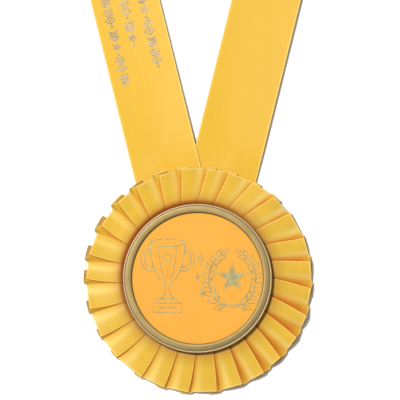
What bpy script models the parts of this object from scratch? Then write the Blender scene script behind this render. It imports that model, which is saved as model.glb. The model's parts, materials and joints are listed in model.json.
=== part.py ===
"""Award ribbon: a pleated satin rosette with a framed centre button, hung on a folded neck ribbon.

Run it with blender --background --python part.py, or from Blender's text editor.
The award lies face up: +Z points out of its face, +Y runs up the neck ribbon, and the origin is the
centre of the back card's underside, on the surface that the award lies on. Lengths are in metres.
"""

import math

import bmesh
import bpy
from mathutils import Matrix, Vector

# Driving dimensions of the ribbon stock.
RIBBON_WIDTH = 0.035
CLOTH = 0.00035
GAP = 0.0003
CUT_LENGTH = 0.762

# Neck ribbon: two legs that open as a V about the line x = V_AXIS_X, joined by a folded neck band.
V_AXIS_X = -0.001
V_APEX_Y = -0.0038
LEG_ANGLE = math.radians(13.9)
TAIL_BELOW_APEX = 0.012
LEG_FOLD_Y = 0.078
NECK_FOLD_Y = 0.228
FOLD_CLEARANCE = 0.0009
CREASE_RADIUS = 0.00035

# Stack of the rosette, from the surface that it lies on upwards.
BACK_CARD_RADIUS = 0.031
BACK_CARD_THICKNESS = 0.0004
WIRE = 0.0004
BASE_CARD_RADIUS = 0.034
BASE_CARD_THICKNESS = 0.001
HEADING_THICKNESS = 0.0012
PLATE = 0.0004

STAPLE_BACK_Z = BACK_CARD_THICKNESS + GAP
RIGHT_TAIL_Z = STAPLE_BACK_Z + WIRE + GAP
LEFT_TAIL_Z = RIGHT_TAIL_Z + CLOTH + GAP
BASE_CARD_Z = LEFT_TAIL_Z + CLOTH + GAP
HEADING_Z = BASE_CARD_Z + BASE_CARD_THICKNESS + GAP
STAPLE_FRONT_Z = HEADING_Z + HEADING_THICKNESS + GAP
PAN_Z = STAPLE_FRONT_Z + WIRE + GAP

# Ruffle: one ribbon in knife pleats round the button.
PLEATS = 27
HEADING_RADIUS = 0.0245
HEADING_EDGE = 0.036
RIM_RADIUS = 0.0583
RIM_OFFSET = Vector((0.0009, -0.00125))
PLEAT_LEAN = math.radians(3.6)
PLEAT_START = math.radians(12.1)
# The gatherer's hand is uneven: how far the folds stray from even spacing, and where they stray most.
ONE_SIDED_DRIFT = (math.radians(3.2), math.radians(-65.0))
TWO_SIDED_DRIFT = (math.radians(1.5), math.radians(90.0))
RUFFLE_CLOTH = 0.0005
RIM_VALLEY_Z = 0.0017
RIM_CREST_RISE = 0.0038
PLEAT_RETURN = 0.0008

# Centre button.
PAN_RADIUS = 0.03866
PAN_WALL = 0.0007
PAN_HEIGHT = 0.0031
STIFFENER_THICKNESS = 0.0014
INSERT_RADIUS = 0.0362
INSERT_THICKNESS = 0.0004
BEZEL_INNER = 0.034
BEZEL_OUTER = 0.0375
BEZEL_TOP_ABOVE_FACE = 0.0011

# Fasteners, thread and glue.
STAPLE_SPAN = 0.011
TAIL_STAPLE_Y = (-0.006, 0.010)
RUFFLE_STAPLE_RADIUS = 0.0300
RUFFLE_STAPLE_ANGLES = (0.0, 180.0, 234.0, 306.0)
RUFFLE_STAPLE_SPAN = 0.009
CLINCH = 0.0035
HOLE = 0.0011
CUTTER_HEIGHT = 0.03
THREAD_RADIUS = 0.0266
THREAD_SIZE = 0.0004
GLUE_INNER = 0.014
GLUE_OUTER = 0.022

ROUND_STEPS = 72


def clear_scene():
    for obj in list(bpy.data.objects):
        bpy.data.objects.remove(obj, do_unlink=True)


def material(name, colour, roughness, metallic=0.0):
    made = bpy.data.materials.new(name)
    made.use_nodes = True
    shader = made.node_tree.nodes["Principled BSDF"]
    shader.inputs["Base Color"].default_value = (*colour, 1.0)
    shader.inputs["Roughness"].default_value = roughness
    shader.inputs["Metallic"].default_value = metallic
    return made


def add_object(name, data, surface=None):
    """Links a new object to the scene. A cutter or an empty has no surface."""
    obj = bpy.data.objects.new(name, data)
    bpy.context.scene.collection.objects.link(obj)
    if surface:
        data.materials.append(surface)
    return obj


def fold_line(name, y, parent=None):
    """An empty on a fold of the neck ribbon, which the pieces beyond that fold hang from."""
    hinge = add_object(name, None)
    hinge.location = (V_AXIS_X, y, CLOTH / 2)
    if parent:
        hinge.parent = parent
        hinge.location -= parent.location
    return hinge


def hang_on(piece, hinge, place):
    """Makes a piece turn with its fold line, whose place in the whole object is given."""
    piece.data.transform(Matrix.Translation(-place))
    piece.parent = hinge


def mesh_from(bm, name):
    """Turns a closed bmesh into a mesh whose faces all point outwards."""
    bmesh.ops.recalc_face_normals(bm, faces=bm.faces)
    mesh = bpy.data.meshes.new(name)
    bm.to_mesh(mesh)
    bm.free()
    return mesh


def smooth_round(obj):
    """Shades a round piece smooth, with its edges kept sharp."""
    obj.data.shade_smooth()
    obj.data.set_sharp_from_angle(angle=math.radians(35))
    return obj


def turned(name, profile, surface, steps=ROUND_STEPS):
    """A closed (radius, height) outline turned about the Z axis. All steps share a point on the axis."""
    bm = bmesh.new()
    rings = []
    for radius, height in profile:
        if radius == 0.0:
            rings.append([bm.verts.new((0.0, 0.0, height))] * steps)
            continue
        turns = [2 * math.pi * step / steps for step in range(steps)]
        rings.append(
            [bm.verts.new((radius * math.cos(a), radius * math.sin(a), height)) for a in turns]
        )
    closed = profile[0][0] != 0.0
    pairs = list(zip(rings, rings[1:] + (rings[:1] if closed else [])))
    for first, second in pairs:
        for step in range(steps):
            after = (step + 1) % steps
            corners = [first[step], first[after], second[after], second[step]]
            corners = list(dict.fromkeys(corners))
            if len(corners) > 2:
                bm.faces.new(corners)
    return smooth_round(add_object(name, mesh_from(bm, name), surface))


def disc(name, radius, bottom, thickness, surface):
    """A round card or plate with slightly eased edges."""
    ease = min(thickness, 0.0006) / 4
    top = bottom + thickness
    profile = [
        (0.0, bottom),
        (radius - ease, bottom),
        (radius, bottom + ease),
        (radius, top - ease),
        (radius - ease, top),
        (0.0, top),
    ]
    return turned(name, profile, surface)


def cut_holes(obj, places):
    """Cuts a square hole for a staple leg at each (place, angle), right through the piece."""
    name = obj.name + "_cutter"
    bm = bmesh.new()
    for place, angle in places:
        made = bmesh.ops.create_cube(bm, size=1.0)["verts"]
        bmesh.ops.scale(bm, vec=(HOLE, HOLE, CUTTER_HEIGHT), verts=made)
        bmesh.ops.rotate(bm, matrix=Matrix.Rotation(angle, 3, "Z"), verts=made)
        bmesh.ops.translate(bm, vec=place, verts=made)
    cutter = add_object(name, mesh_from(bm, name))
    cutter.hide_render = True
    cutter.display_type = "WIRE"
    cut = obj.modifiers.new("staple_holes", "BOOLEAN")
    cut.operation = "DIFFERENCE"
    cut.object = cutter
    cut.solver = "EXACT"


def sheet_solid(name, rows, thickness, surface):
    """A sheet of cloth as a closed solid: rows of (middle point, face normal) across the ribbon."""
    bm = bmesh.new()
    half = thickness / 2
    face = [[bm.verts.new(p + n * half) for p, n in row] for row in rows]
    back = [[bm.verts.new(p - n * half) for p, n in row] for row in rows]
    for layer in (face, back):
        for near, far in zip(layer, layer[1:]):
            for i in range(len(near) - 1):
                bm.faces.new((near[i], near[i + 1], far[i + 1], far[i]))
    for i in (0, -1):
        for j in range(len(rows) - 1):
            bm.faces.new((face[j][i], face[j + 1][i], back[j + 1][i], back[j][i]))
    for j in (0, -1):
        for i in range(len(rows[0]) - 1):
            bm.faces.new((face[j][i], face[j][i + 1], back[j][i + 1], back[j][i]))
    return add_object(name, mesh_from(bm, name), surface)


# Neck ribbon ------------------------------------------------------------------------------------

UP = Vector((0.0, 0.0, 1.0))
# Distance along a leg from the V's apex to the middle of its crease, so that the cut length comes out.
CREASE_S = (CUT_LENGTH - 2 * TAIL_BELOW_APEX) / (2 + 2 * math.sin(LEG_ANGLE))


class Leg:
    """One leg of the V as a flat strip: side is -1 on the left and +1 on the right."""

    def __init__(self, side):
        self.side = side
        self.apex = Vector((V_AXIS_X, V_APEX_Y, 0.0))
        self.along = Vector((side * math.sin(LEG_ANGLE), math.cos(LEG_ANGLE), 0.0))
        self.inward = Vector((-side * math.cos(LEG_ANGLE), math.sin(LEG_ANGLE), 0.0))
        across_band = Vector((-side, 0.0, 0.0))
        self.out = (self.along - across_band).normalized()
        self.crease_slope = -self.inward.dot(self.out) / self.along.dot(self.out)

    def at(self, s, v, z):
        """The point s along the leg and v inward of its middle line."""
        return self.apex + self.along * s + self.inward * v + UP * z

    def s_at_y(self, y, v):
        """How far along the leg its line v crosses the height y."""
        return (y - V_APEX_Y - self.inward.y * v) / self.along.y

    def row_at_y(self, y, z):
        return [(self.at(self.s_at_y(y, v), v, z), UP) for v in (-RIBBON_WIDTH / 2, 0.0, RIBBON_WIDTH / 2)]


def ease(t):
    t = max(0.0, min(1.0, t))
    return t * t * (3 - 2 * t)


def tail(name, side, card_z, surface):
    """The stapled end of a leg: flat between the two cards, then down to the surface under the ruffle."""
    leg = Leg(side)
    ground = CLOTH / 2
    inside = card_z + CLOTH / 2
    over_other = ground + CLOTH + GAP if side < 0 else ground
    half = RIBBON_WIDTH / 2
    rows = [[(leg.at(-TAIL_BELOW_APEX, v, inside), UP) for v in (-half, 0.0, half)]]
    level = BASE_CARD_RADIUS
    notch = LEG_FOLD_Y - 0.009
    for step in range(7):
        y = level + (notch - level) * step / 6
        z = inside + (over_other - inside) * ease((y - level) / (notch - level - 0.006))
        rows.append(leg.row_at_y(y, z))
    end = LEG_FOLD_Y - FOLD_CLEARANCE
    for step in range(1, 4):
        y = notch + (end - notch) * step / 3
        rows.append(leg.row_at_y(y, over_other + (ground - over_other) * ease(step / 3)))
    return sheet_solid(name, rows, CLOTH, surface)


def leg_strip(name, side, surface):
    """The free stretch of a leg between the two fold lines, flat on the surface."""
    leg = Leg(side)
    rows = [
        leg.row_at_y(y, CLOTH / 2)
        for y in (LEG_FOLD_Y + FOLD_CLEARANCE, NECK_FOLD_Y - FOLD_CLEARANCE)
    ]
    return sheet_solid(name, rows, CLOTH, surface)


def neck_band_side(side):
    """Rows from the neck fold line up one leg, over its slanting crease and to the middle of the band."""
    leg = Leg(side)
    widths = (-RIBBON_WIDTH / 2, 0.0, RIBBON_WIDTH / 2)
    ground = CLOTH / 2
    raised = ground + 2 * CREASE_RADIUS
    rows = []
    start = NECK_FOLD_Y + FOLD_CLEARANCE
    band_edge = V_APEX_Y + CREASE_S * math.cos(LEG_ANGLE) - RIBBON_WIDTH / 2
    for step in range(5):
        y = start + (band_edge - 0.004 - start) * step / 4
        rows.append(leg.row_at_y(y, ground + (raised - ground) * ease(step / 4)))
    crease = [leg.at(CREASE_S + leg.crease_slope * v, v, 0.0) for v in widths]
    for turn in range(5):
        angle = math.pi * turn / 4
        normal = UP * math.cos(angle) + leg.out * math.sin(angle)
        centre = UP * (ground + CREASE_RADIUS)
        rows.append([(p + centre + normal * CREASE_RADIUS, normal) for p in crease])
    middle = [Vector((V_AXIS_X, p.y, 0.0)) for p in folded_edges(leg, widths)]
    rows.append([(p + UP * ground, -UP) for p in middle])
    return rows


def folded_edges(leg, widths):
    """A point of each line across the ribbon once it is folded over into the band, which runs level."""
    centre = leg.at(CREASE_S, 0.0, 0.0)
    return [centre + Vector((0.0, v, 0.0)) for v in widths]


def neck_band(name, surface):
    """The back of the neck: both leg tops and the level band, one strip with a crease at each corner."""
    left = neck_band_side(-1)
    right = neck_band_side(1)
    return sheet_solid(name, left + right[-2::-1], CLOTH, surface)


# Ruffle -----------------------------------------------------------------------------------------


def fold_angle(index):
    """Angle of a pleat's leading fold at the button. The pleats crowd together at the top."""
    even = 2 * math.pi * index / PLEATS
    drift = ONE_SIDED_DRIFT[0] * math.cos(even - ONE_SIDED_DRIFT[1])
    drift += TWO_SIDED_DRIFT[0] * math.cos(2 * even - TWO_SIDED_DRIFT[1])
    return PLEAT_START + even + drift


def rim_point(angle, radius):
    """A point of the ruffle, whose rim is a little off the button's centre."""
    share = ease((radius - HEADING_EDGE) / (RIM_RADIUS - HEADING_EDGE))
    lean = PLEAT_LEAN * share
    flat = Vector((math.cos(angle - lean), math.sin(angle - lean))) * radius + RIM_OFFSET * share
    return Vector((flat.x, flat.y, 0.0))


def ruffle(name, surface):
    """Knife pleats as a ring with a saw-tooth face: flat and stitched inside, standing open at the rim."""
    radii = (HEADING_RADIUS, HEADING_EDGE, 0.041, 0.047, 0.053, RIM_RADIUS)
    rise_along = (0.0, 0.3, 0.62, 1.0)
    rise_share = (0.0, 0.72, 0.95, 1.0)
    bm = bmesh.new()
    tops, bottoms = [], []
    for radius in radii:
        out = ease((radius - HEADING_EDGE) / (RIM_RADIUS - HEADING_EDGE))
        valley = HEADING_Z + HEADING_THICKNESS
        valley += (RIM_VALLEY_Z + RUFFLE_CLOTH - valley) * out
        cloth = HEADING_THICKNESS + (RUFFLE_CLOTH - HEADING_THICKNESS) * min(1.0, 4 * out)
        top, bottom = [], []
        for index in range(PLEATS):
            begin = fold_angle(index) + PLEAT_RETURN / radius
            end = fold_angle(index + 1)
            for share, height in zip(rise_along, rise_share):
                place = rim_point(begin + (end - begin) * share, radius)
                z = valley + RIM_CREST_RISE * height * out
                top.append(bm.verts.new(place + UP * z))
                bottom.append(bm.verts.new(place + UP * (z - cloth)))
        tops.append(top)
        bottoms.append(bottom)
    count = len(tops[0])
    for layer in (tops, bottoms):
        for near, far in zip(layer, layer[1:]):
            for i in range(count):
                j = (i + 1) % count
                bm.faces.new((near[i], near[j], far[j], far[i]))
    for ring in (0, -1):
        for i in range(count):
            j = (i + 1) % count
            bm.faces.new((tops[ring][i], tops[ring][j], bottoms[ring][j], bottoms[ring][i]))
    return add_object(name, mesh_from(bm, name), surface)


# Staples, thread and button -----------------------------------------------------------------------


def staple(name, centre, angle, span, crown_z, clinch_z, surface):
    """A wire staple, as one flat outline of square wire: its crown at crown_z, and both legs bent inwards at
    clinch_z. Returns the (place, angle) of each leg."""
    half, size = span / 2, WIRE / 2
    side = math.copysign(size, clinch_z - crown_z)
    outer = [(half - CLINCH, clinch_z + side), (half + size, clinch_z + side), (half + size, crown_z - side)]
    inner = [(half - size, crown_z + side), (half - size, clinch_z - side), (half - CLINCH, clinch_z - side)]
    outline = outer + [(-x, z) for x, z in reversed(outer)] + [(-x, z) for x, z in reversed(inner)] + inner
    bm = bmesh.new()
    face = bm.faces.new([bm.verts.new((x, -size, z)) for x, z in outline])
    grown = bmesh.ops.extrude_face_region(bm, geom=[face])["geom"]
    moved = [part for part in grown if isinstance(part, bmesh.types.BMVert)]
    bmesh.ops.translate(bm, vec=(0.0, WIRE, 0.0), verts=moved)
    obj = add_object(name, mesh_from(bm, name), surface)
    obj.location = centre
    obj.rotation_euler = (0.0, 0.0, angle)
    step = Vector((math.cos(angle), math.sin(angle), 0.0)) * half
    return [(centre + step, angle), (centre - step, angle)]


def gathering_thread(name, surface):
    """The stitch line that holds the pleats, as one closed thread that weaves a little in and out."""
    curve = bpy.data.curves.new(name, "CURVE")
    curve.dimensions = "3D"
    spline = curve.splines.new("POLY")
    count = 2 * PLEATS
    spline.points.add(count - 1)
    height = STAPLE_FRONT_Z + THREAD_SIZE / 2
    for index, point in enumerate(spline.points):
        angle = 2 * math.pi * index / count
        radius = THREAD_RADIUS + (0.0004 if index % 2 else -0.0004)
        point.co = (radius * math.cos(angle), radius * math.sin(angle), height, 1.0)
    spline.use_cyclic_u = True
    curve.bevel_depth = THREAD_SIZE / 2
    curve.bevel_resolution = 0
    return add_object(name, curve, surface)


def build_button(brass, board, printed):
    """The framed centre: a plated pan, a board stiffener, the printed face and a bezel that traps them."""
    plate_top = PAN_Z + PLATE
    flange_top = PAN_Z + PAN_HEIGHT
    wall = PAN_RADIUS - PAN_WALL
    turned(
        "button_pan",
        [
            (0.0, PAN_Z),
            (PAN_RADIUS - 0.0012, PAN_Z),
            (PAN_RADIUS - 0.0002, PAN_Z + 0.0006),
            (PAN_RADIUS, PAN_Z + 0.0014),
            (PAN_RADIUS, flange_top - 0.0002),
            (PAN_RADIUS - PAN_WALL / 2, flange_top),
            (wall, flange_top - 0.0002),
            (wall, plate_top),
            (0.0, plate_top),
        ],
        brass,
        steps=96,
    )
    stiffener_z = plate_top + GAP
    disc("stiffener", INSERT_RADIUS, stiffener_z, STIFFENER_THICKNESS, board)
    insert_z = stiffener_z + STIFFENER_THICKNESS + GAP
    disc("printed_insert", INSERT_RADIUS, insert_z, INSERT_THICKNESS, printed)
    face = insert_z + INSERT_THICKNESS
    top = face + BEZEL_TOP_ABOVE_FACE
    lip = face + GAP
    skirt = INSERT_RADIUS + 0.0005
    turned(
        "bezel",
        [
            (skirt, stiffener_z),
            (BEZEL_OUTER, stiffener_z),
            (BEZEL_OUTER, top - 0.0003),
            (BEZEL_OUTER - 0.0003, top),
            (BEZEL_INNER + 0.0008, top),
            (BEZEL_INNER + 0.0002, top - 0.0003),
            (BEZEL_INNER, lip),
            (skirt, lip),
        ],
        brass,
        steps=96,
    )


def build_staples(steel):
    """Two staples hold the ribbon's ends to the base card, and four hold the ruffle. Returns both sets of
    leg places."""
    tail_places, ruffle_places = [], []
    back = STAPLE_BACK_Z + WIRE / 2
    front = STAPLE_FRONT_Z + WIRE / 2
    for name, y in zip(("tail_staple_lower", "tail_staple_upper"), TAIL_STAPLE_Y):
        centre = Vector((V_AXIS_X, y, 0.0))
        tail_places += staple(name, centre, 0.0, STAPLE_SPAN, back, HEADING_Z + WIRE / 2, steel)
    under = BASE_CARD_Z - GAP - WIRE / 2
    for number, degrees in enumerate(RUFFLE_STAPLE_ANGLES, start=1):
        around = math.radians(degrees)
        centre = Vector((math.cos(around), math.sin(around), 0.0)) * RUFFLE_STAPLE_RADIUS
        turn = around + math.pi / 2
        ruffle_places += staple(
            f"ruffle_staple_{number}", centre, turn, RUFFLE_STAPLE_SPAN, front, under, steel
        )
    return tail_places, ruffle_places


def build_neck_ribbon(satin):
    """The one ribbon, in five pieces that meet at its two fold lines. Returns its stapled ends."""
    tails = tail("left_tail", -1, LEFT_TAIL_Z, satin), tail("right_tail", 1, RIGHT_TAIL_Z, satin)
    leg_fold = fold_line("leg_fold", LEG_FOLD_Y)
    neck_fold = fold_line("neck_fold", NECK_FOLD_Y, leg_fold)
    for name, side in (("left_leg", -1), ("right_leg", 1)):
        hang_on(leg_strip(name, side, satin), leg_fold, leg_fold.location)
    hang_on(neck_band("neck_band", satin), neck_fold, leg_fold.location + neck_fold.location)
    return tails


def build():
    clear_scene()
    satin = material("satin", (0.93, 0.57, 0.09), 0.45)
    brass = material("brass", (0.46, 0.32, 0.12), 0.38, 0.9)
    board = material("grey_board", (0.42, 0.40, 0.36), 0.9)
    card = material("white_card", (0.82, 0.80, 0.74), 0.8)
    printed = material("printed_satin", (0.95, 0.48, 0.07), 0.6)
    steel = material("steel_wire", (0.62, 0.62, 0.64), 0.3, 1.0)
    thread = material("thread", (0.85, 0.55, 0.12), 0.8)
    glue = material("hot_melt_glue", (0.78, 0.72, 0.55), 0.4)

    disc("back_card", BACK_CARD_RADIUS, 0.0, BACK_CARD_THICKNESS, card)
    base = disc("base_card", BASE_CARD_RADIUS, BASE_CARD_Z, BASE_CARD_THICKNESS, board)
    left, right = build_neck_ribbon(satin)
    pleats = ruffle("ruffle", satin)
    gathering_thread("gathering_thread", thread)
    ring_foot = [(GLUE_INNER, HEADING_Z), (GLUE_OUTER, HEADING_Z)]
    ring_top = [(GLUE_OUTER, PAN_Z - GAP), (GLUE_INNER, PAN_Z - GAP)]
    turned("glue_ring", ring_foot + ring_top, glue, steps=48)
    build_button(brass, board, printed)
    tail_places, ruffle_places = build_staples(steel)
    cut_holes(left, tail_places)
    cut_holes(right, tail_places)
    cut_holes(base, tail_places + ruffle_places)
    cut_holes(pleats, ruffle_places)


build()
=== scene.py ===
import json
import math
import random

import bmesh
import bpy
from bpy.props import FloatProperty, FloatVectorProperty, IntProperty, PointerProperty
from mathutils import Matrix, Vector


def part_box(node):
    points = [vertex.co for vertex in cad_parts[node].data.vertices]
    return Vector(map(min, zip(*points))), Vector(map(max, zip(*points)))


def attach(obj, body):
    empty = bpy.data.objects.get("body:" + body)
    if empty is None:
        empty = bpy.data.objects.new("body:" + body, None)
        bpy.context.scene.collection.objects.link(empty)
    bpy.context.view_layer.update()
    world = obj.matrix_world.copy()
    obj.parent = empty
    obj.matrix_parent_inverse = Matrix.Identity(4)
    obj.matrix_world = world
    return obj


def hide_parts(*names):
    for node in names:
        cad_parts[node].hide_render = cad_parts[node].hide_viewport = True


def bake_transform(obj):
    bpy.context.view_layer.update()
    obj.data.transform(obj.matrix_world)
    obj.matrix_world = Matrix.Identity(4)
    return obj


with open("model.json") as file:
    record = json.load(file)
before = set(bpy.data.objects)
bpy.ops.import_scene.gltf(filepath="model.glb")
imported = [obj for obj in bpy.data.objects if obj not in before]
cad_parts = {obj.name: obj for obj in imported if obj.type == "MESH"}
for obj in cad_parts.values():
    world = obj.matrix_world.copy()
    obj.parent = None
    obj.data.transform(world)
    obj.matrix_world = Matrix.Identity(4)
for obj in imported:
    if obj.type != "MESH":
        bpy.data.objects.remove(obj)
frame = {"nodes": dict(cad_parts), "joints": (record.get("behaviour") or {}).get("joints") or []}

bl_info = {
    "name": "Award ribbon",
    "version": (1, 0, 0),
    "blender": (4, 5, 0),
    "location": "3D View > Sidebar > Award",
    "description": "Dresses the frame of a satin rosette on a neck ribbon in its cloth, metal, foil and card",
    "category": "Object",
}

MM = 0.001
UP = Vector((0.0, 0.0, 1.0))
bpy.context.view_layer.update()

BUTTON_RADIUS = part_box("button_pan")[1].x
BEZEL_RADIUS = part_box("bezel")[1].x
INSERT_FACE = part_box("printed_insert")[1].z
HEADING_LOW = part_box("base_card")[1].z + 0.3 * MM
JOINTS = {joint["name"]: joint for joint in frame["joints"]}
LEG_FOLD_Y = JOINTS["leg_fold"]["pos_m"][1]
NECK_FOLD_Y = JOINTS["neck_fold"]["pos_m"][1]
RIBBON_AXIS_X = JOINTS["leg_fold"]["pos_m"][0]


# Sizes and colours that a maker would change ---------------------------------------------------


def length(name, description, millimetres):
    """A size that is written in millimetres."""
    return FloatProperty(name=name, description=description, default=millimetres * MM, unit="LENGTH")


def colour(name, description, red_green_blue):
    """A colour in linear light."""
    return FloatVectorProperty(
        name=name, description=description, default=red_green_blue, subtype="COLOR", size=3, min=0, max=1
    )


class RuffleSettings(bpy.types.PropertyGroup):
    pleats: IntProperty(name="Pleats", description="Knife pleats round the button", default=27, min=8)
    strip_width: length("Strip width", "Width of the ribbon that is pleated", 35.0)
    strip_length: length("Strip length", "Length of the ribbon that is pleated", 675.0)
    cloth: length("Cloth", "Thickness of the satin", 0.24)
    rim_radius: length("Rim radius", "From the rosette's middle to the ends of its pleats", 58.2)
    low_rim: length("Low rim", "Height of the lowest layer at the rim", 1.9)
    hidden_rim: length("Hidden cloth", "How far each under fold reaches back at the rim", 4.0)


class NeckRibbonSettings(bpy.types.PropertyGroup):
    width: length("Width", "Width of the neck ribbon", 35.0)
    cloth: length("Cloth", "Thickness of the satin", 0.26)
    cut_length: length("Cut length", "Length of the whole neck ribbon", 762.0)
    lift: length("Lift", "How far the ribbon's own curl keeps it off the table", 2.3)
    curl: length("Curl", "How far its edges stand above its middle", 0.6)
    crease: length("Crease", "Radius of the two folds at the neck", 0.35)
    satin: colour("Satin", "Golden yellow of the satin", (0.81, 0.48, 0.043))


class FoilSettings(bpy.types.PropertyGroup):
    line: length("Line", "Width of the emblem's printed lines", 0.5)
    thickness: length("Thickness", "How far the foil stands off the cloth", 0.04)
    emblem: colour("Emblem", "Foil of the emblem", (0.38, 0.33, 0.14))
    border: colour("Border", "Foil of the rows on the neck ribbon", (0.38, 0.28, 0.15))


class ButtonSettings(bpy.types.PropertyGroup):
    steps: IntProperty(name="Steps", description="Steps round a turned piece", default=192, min=32)
    bezel_inner: length("Bezel opening", "Radius of the printed face that shows", 34.0)
    lip: length("Lip", "Wall thickness of the pan's rolled lip", 0.95)
    brass: colour("Brass", "Plated metal of the bezel and the pan", (0.295, 0.212, 0.082))
    face: colour("Face", "Ground of the printed face", (0.87, 0.405, 0.040))


class StageSettings(bpy.types.PropertyGroup):
    view_width: length("View width", "What the camera takes in, across the floor", 208.4)
    camera_height: length("Camera height", "How high the camera is above the floor", 2000.0)
    key_power: FloatProperty(name="Key power", description="Watts of the main soft light", default=12.8)
    sky: FloatProperty(name="Sky", description="Strength of the white surroundings", default=0.31)


# Mesh work --------------------------------------------------------------------------------------


def draw_chain(bm, points, closed=False):
    """Starts a chain of edges through the points. Returns its vertices and its edges."""
    verts = [bm.verts.new(point) for point in points]
    ends = verts[1:] + (verts[:1] if closed else [])
    return verts, [bm.edges.new(pair) for pair in zip(verts, ends)]


def carry_on(bm, verts, edges, points):
    """Extrudes a chain of edges and puts its new vertices on the points. Returns the new chain."""
    grown = set(bmesh.ops.extrude_edge_only(bm, edges=edges)["geom"])
    ahead = []
    for vert, point in zip(verts, points):
        twin = next(edge.other_vert(vert) for edge in vert.link_edges if edge.other_vert(vert) in grown)
        twin.co = point
        ahead.append(twin)
    ends = ahead[1:] + (ahead[:1] if len(edges) == len(verts) else [])
    return ahead, [bm.edges.get(pair) for pair in zip(ahead, ends)]


def piece_from(bm, name, finish, body):
    """Ends a bmesh as a piece of the object, with its material, that moves with a body if one is named."""
    mesh = bpy.data.meshes.new(name)
    bm.to_mesh(mesh)
    bm.free()
    piece = bpy.data.objects.new(name, mesh)
    bpy.context.scene.collection.objects.link(piece)
    mesh.materials.append(finish)
    mesh.shade_smooth()
    if body:
        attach(piece, body)
    return piece


def thicken(piece, thickness, sharp=65.0):
    """Gives a sheet its thickness, half on each side, and settles it into the mesh with its edges sharp."""
    wall = piece.modifiers.new("thickness", "SOLIDIFY")
    wall.thickness = thickness
    wall.offset = 0.0
    wall.use_even_offset = False
    graph = bpy.context.evaluated_depsgraph_get()
    settled = bpy.data.meshes.new_from_object(piece.evaluated_get(graph))
    piece.modifiers.clear()
    piece.data = settled
    settled.shade_smooth()
    settled.set_sharp_from_angle(angle=math.radians(sharp))
    return piece


def mark_cloth(bm, rows):
    """Lays the cloth's own measure, across and along in metres, on rows of (vertex, across, along)."""
    layer = bm.loops.layers.uv.new("cloth")
    place = {vert: (across, along) for row in rows for vert, across, along in row}
    for face in bm.faces:
        for loop in face.loops:
            loop[layer].uv = place[loop.vert]


def turned(name, section, steps, finish, body):
    """A closed outline of (radius, height) points, spun into a ring."""
    bm = bmesh.new()
    verts, edges = draw_chain(bm, [Vector((radius, 0.0, height)) for radius, height in section], closed=True)
    bmesh.ops.spin(
        bm, geom=verts + edges, cent=(0, 0, 0), axis=UP, dvec=(0, 0, 0), angle=math.tau, steps=steps,
        use_merge=True, use_normal_flip=False, use_duplicate=False,
    )
    bmesh.ops.remove_doubles(bm, verts=bm.verts, dist=1e-6)
    bmesh.ops.recalc_face_normals(bm, faces=bm.faces)
    piece = piece_from(bm, name, finish, body)
    piece.data.set_sharp_from_angle(angle=math.radians(40))
    return piece


def ease(share):
    """A smooth start and a smooth end between 0 and 1."""
    share = max(0.0, min(1.0, share))
    return share * share * (3 - 2 * share)


def between(low, high, share):
    """The value at a share of the way from low to high."""
    return low + (high - low) * share


# Finishes ---------------------------------------------------------------------------------------


class Wire:
    """A socket in a material, with sums on it written as plain arithmetic."""

    def __init__(self, finish, socket):
        self.finish = finish
        self.socket = socket

    def sum(self, operation, *others, **settings):
        return self.finish.node("ShaderNodeMath", {"operation": operation, **settings}, self, *others)

    def __add__(self, other):
        return self.sum("ADD", other)

    def __sub__(self, other):
        return self.sum("SUBTRACT", other)

    def __rsub__(self, other):
        return self.finish.node("ShaderNodeMath", {"operation": "SUBTRACT"}, other, self)

    def __mul__(self, other):
        return self.sum("MULTIPLY", other)

    def __lt__(self, other):
        return self.sum("LESS_THAN", other)

    __radd__ = __add__
    __rmul__ = __mul__

    def held(self):
        """The value kept between 0 and 1."""
        return self.sum("ADD", 0.0, use_clamp=True)

    def stretched(self, low, high):
        """The value with low sent to 0 and high to 1, and held there."""
        return ((self - low) * (1.0 / (high - low))).held()


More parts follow.
